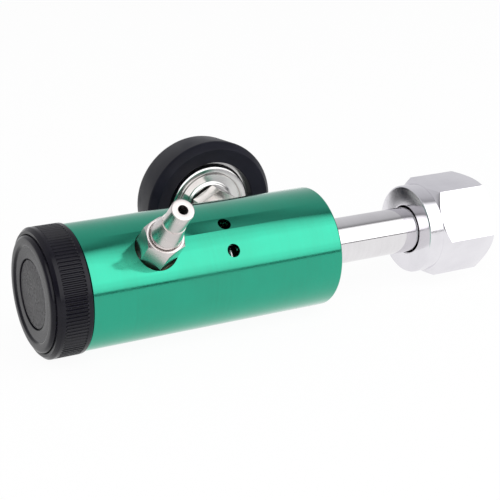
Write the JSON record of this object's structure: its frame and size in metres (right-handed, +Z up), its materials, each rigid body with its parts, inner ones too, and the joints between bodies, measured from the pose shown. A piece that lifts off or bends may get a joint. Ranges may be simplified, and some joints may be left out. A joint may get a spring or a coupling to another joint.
{
  "type": "oxygen regulator",
  "caption": "Click-style oxygen pressure regulator with a cylinder nut, hose barb, flow knob and a pressure gauge in a rubber boot.",
  "frame": {"origin": "centre of the inlet nut's open mouth, on the regulator's axis", "axes": "+X leaves the nut's mouth towards the cylinder valve; +Z up as the regulator lies on a table; the gauge points close to +Y, the barb up towards -Y"},
  "size_m": [0.1545, 0.0924, 0.0498],
  "materials": {
    "green": "green anodised, satin",
    "chrome": "polished nickel-chrome plate",
    "nickel": "nickel plate",
    "zinc": "bright zinc plate",
    "steel": "bare steel",
    "brass": "turned brass",
    "tube_bronze": "drawn phosphor bronze",
    "sintered": "sintered bronze",
    "aluminium": "plain turned",
    "rubber": "matte black rubber",
    "seat": "white seal plastic",
    "white_plastic": "white with black numbers",
    "black_plastic": "black moulded plastic",
    "knob_plate": "fine-textured dark grey",
    "lens": "clear plastic lens",
    "dial": "white enamel with black scale",
    "pointer": "black enamel"
  },
  "bodies": {
    "regulator": {"inlet_nipple": "chrome", "inlet_filter": "sintered", "filter_clip": "steel", "body_sleeve": "green", "core_block": "brass", "stem_o_ring": "rubber", "piston_spring": "steel", "outlet_block": "brass", "outlet_seal": "seat", "end_cap": "aluminium", "shaft_o_ring": "rubber", "detent_ball": "steel", "detent_spring": "steel", "snap_ring": "steel", "outlet_barb": "chrome", "barb_washer": "seat", "gauge_port": "chrome", "gauge_stem": "nickel", "gauge_case": "zinc", "gauge_boot": "rubber", "gauge_lens": "lens", "gauge_bezel": "black_plastic", "gauge_dial": "dial", "movement_back_plate": "brass", "movement_front_plate": "brass", "near_pillar_post": "brass", "far_pillar_post": "brass", "pressure_tube": "tube_bronze", "hairspring": "steel", "dial_post_1": "brass", "dial_post_2": "brass", "dial_screw_1": "steel", "dial_screw_2": "steel"},
    "nut": {"inlet_nut": "chrome"},
    "piston_unit": {"piston": "brass", "piston_o_ring": "rubber", "piston_seat": "seat"},
    "selector": {"selector_shaft": "steel", "orifice_disc": "brass", "number_ring": "white_plastic", "knob": "black_plastic", "knob_plate": "knob_plate", "knob_screw": "steel"},
    "sector_unit": {"gauge_sector": "brass"},
    "link_unit": {"gauge_link": "brass"},
    "needle": {"pinion_shaft": "steel", "gauge_pointer": "pointer"}
  },
  "joints": [
    {"name": "nut_spin", "type": "hinge", "parent": "regulator", "child": "nut", "pos_m": [-0.013, 0, 0], "axis": [1, 0, 0], "continuous": true},
    {"name": "knob_turn", "type": "hinge", "parent": "regulator", "child": "selector", "pos_m": [-0.1424, 0, 0], "axis": [1, 0, 0], "continuous": true},
    {"name": "piston_slide", "type": "slide", "parent": "regulator", "child": "piston_unit", "axis": [1, 0, 0], "range_m": [0, 0.0005], "stiffness_N_per_m": 2000, "deforming": ["piston_spring"]},
    {"name": "sector_swing", "type": "hinge", "parent": "regulator", "child": "sector_unit", "pos_m": [-0.06426, 0.04835, 0.00503], "axis": [0, 0.9967, 0.0811], "range_deg": [0, 45]},
    {"name": "link_swing", "type": "hinge", "parent": "sector_unit", "child": "link_unit", "pos_m": [-0.0655, 0.04896, 0.00738], "axis": [0, -0.9967, -0.0811], "range_deg": [0, 45]},
    {"name": "pointer_turn", "type": "hinge", "parent": "regulator", "child": "needle", "pos_m": [-0.0747, 0.05283, 0.0043], "axis": [0, -0.9967, -0.0811], "range_deg": [0, 270]}
  ],
  "couplings": [
    {"joint": "pointer_turn", "follows": "sector_swing", "ratio": 6},
    {"joint": "link_swing", "follows": "sector_swing", "ratio": 1}
  ]
}
